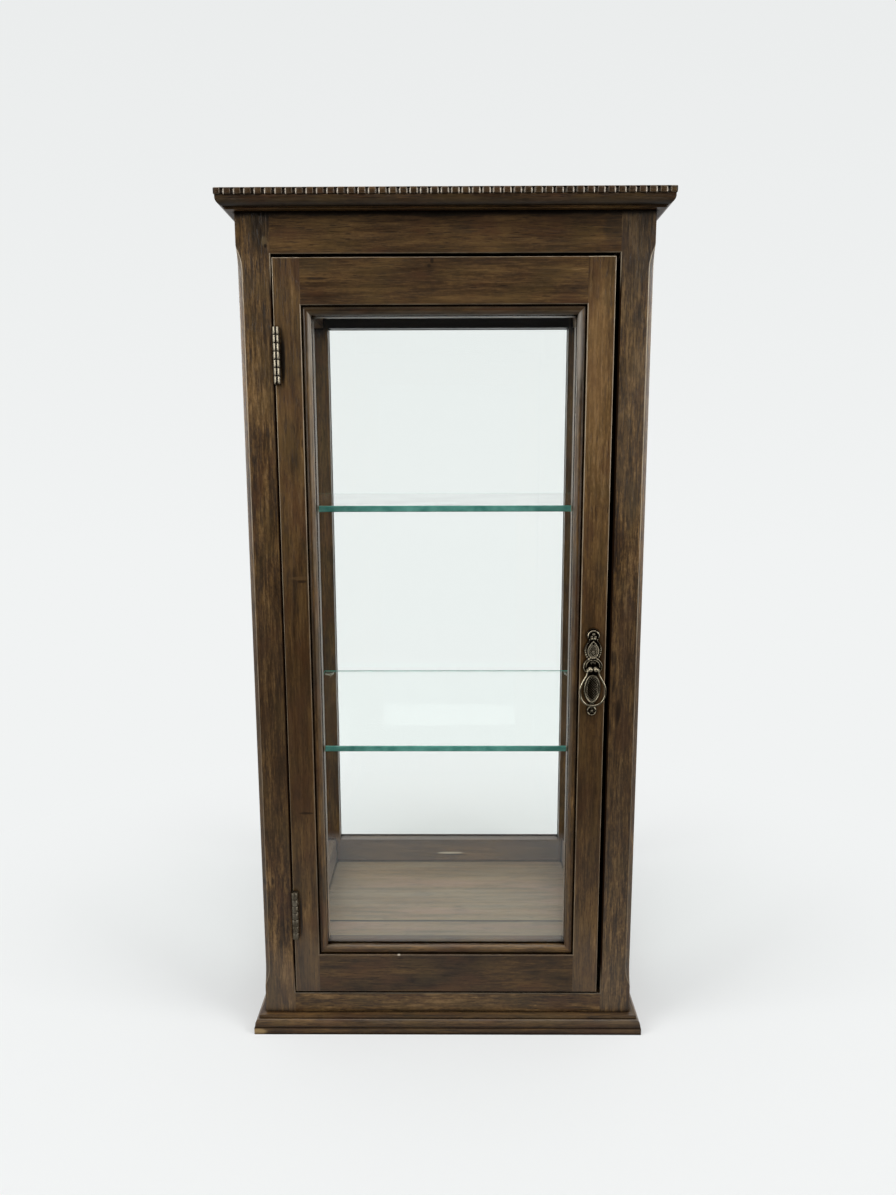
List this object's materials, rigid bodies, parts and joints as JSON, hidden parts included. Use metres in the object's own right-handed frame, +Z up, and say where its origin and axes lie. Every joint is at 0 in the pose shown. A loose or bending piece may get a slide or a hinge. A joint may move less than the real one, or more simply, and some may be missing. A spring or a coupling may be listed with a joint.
{
  "type": "display case",
  "caption": "Upright glazed wooden display case with an inset hinged glass door, drop handle, glass shelves on pins, and a moulded crown and base.",
  "frame": {"origin": "on the ground, under the middle of the crown's outline, which is the widest part", "axes": "+X to the viewer's right facing the door, the door on the -Y side, +Z up"},
  "size_m": [0.304, 0.293, 0.614],
  "materials": {
    "case_wood": "walnut-stained hardwood under satin varnish",
    "floor_wood": "walnut-stained board under satin varnish",
    "clear_glass": "clear float glass with greenish edges",
    "hinge_brass": "aged brass",
    "screw_brass": "aged brass",
    "handle_bronze": "antique bronze, dark in the hollows",
    "screw_steel": "zinc-plated",
    "support_metal": "nickel-plated, dull",
    "catch_plastic": "brown moulded plastic",
    "magnet_ferrite": "sintered ferrite between steel poles"
  },
  "bodies": {
    "case": {"front_post_left": "case_wood", "front_post_right": "case_wood", "back_post_left": "case_wood", "back_post_right": "case_wood", "front_top_rail": "case_wood", "front_bottom_rail": "case_wood", "back_top_rail": "case_wood", "back_bottom_rail": "case_wood", "side_top_rail_left": "case_wood", "side_top_rail_right": "case_wood", "side_bottom_rail_left": "case_wood", "side_bottom_rail_right": "case_wood", "floor_board_front": "floor_wood", "floor_board_rear": "floor_wood", "top_board": "case_wood", "cornice_front": "case_wood", "cornice_left": "case_wood", "cornice_right": "case_wood", "dentil_strip_front": "case_wood", "dentil_strip_left": "case_wood", "dentil_strip_right": "case_wood", "base_moulding_front": "case_wood", "base_moulding_left": "case_wood", "base_moulding_right": "case_wood", "side_glass_left": "clear_glass", "side_glass_right": "clear_glass", "back_glass": "clear_glass", "side_beads_left": "case_wood", "side_beads_right": "case_wood", "back_beads": "case_wood", "shelf_supports_upper": "support_metal", "shelf_supports_lower": "support_metal", "hinge_upper_post_leaf": "hinge_brass", "hinge_upper_pin": "hinge_brass", "hinge_lower_post_leaf": "hinge_brass", "hinge_lower_pin": "hinge_brass", "hinge_screws_post": "screw_brass", "catch_housing": "catch_plastic", "catch_magnet": "magnet_ferrite", "catch_screws": "screw_steel"},
    "door": {"door_stile_hinge": "case_wood", "door_stile_handle": "case_wood", "door_top_rail": "case_wood", "door_bottom_rail": "case_wood", "door_glass": "clear_glass", "door_bead_top": "case_wood", "door_bead_bottom": "case_wood", "door_bead_left": "case_wood", "door_bead_right": "case_wood", "hinge_upper_door_leaf": "hinge_brass", "hinge_lower_door_leaf": "hinge_brass", "hinge_screws_door": "screw_brass", "catch_strike": "screw_steel", "strike_screw": "screw_steel", "handle_backplate": "handle_bronze", "handle_screw": "screw_steel"},
    "bail": {"handle_bail": "handle_bronze"},
    "upper_shelf": {"shelf_upper": "clear_glass"},
    "lower_shelf": {"shelf_lower": "clear_glass"}
  },
  "joints": [
    {"name": "door_swing", "type": "hinge", "parent": "case", "child": "door", "pos_m": [-0.1156, -0.137, 0.3018], "axis": [0, 0, -1], "range_deg": [0, 175]},
    {"name": "bail_swing", "type": "hinge", "parent": "door", "child": "bail", "pos_m": [0.10585, -0.1397, 0.288], "axis": [-1, 0, 0], "range_deg": [0, 160]},
    {"name": "shelf_upper_lift", "type": "slide", "parent": "case", "child": "upper_shelf", "axis": [0, 0, 1], "range_m": [0, 0.02]},
    {"name": "shelf_lower_lift", "type": "slide", "parent": "case", "child": "lower_shelf", "axis": [0, 0, 1], "range_m": [0, 0.02]}
  ]
}
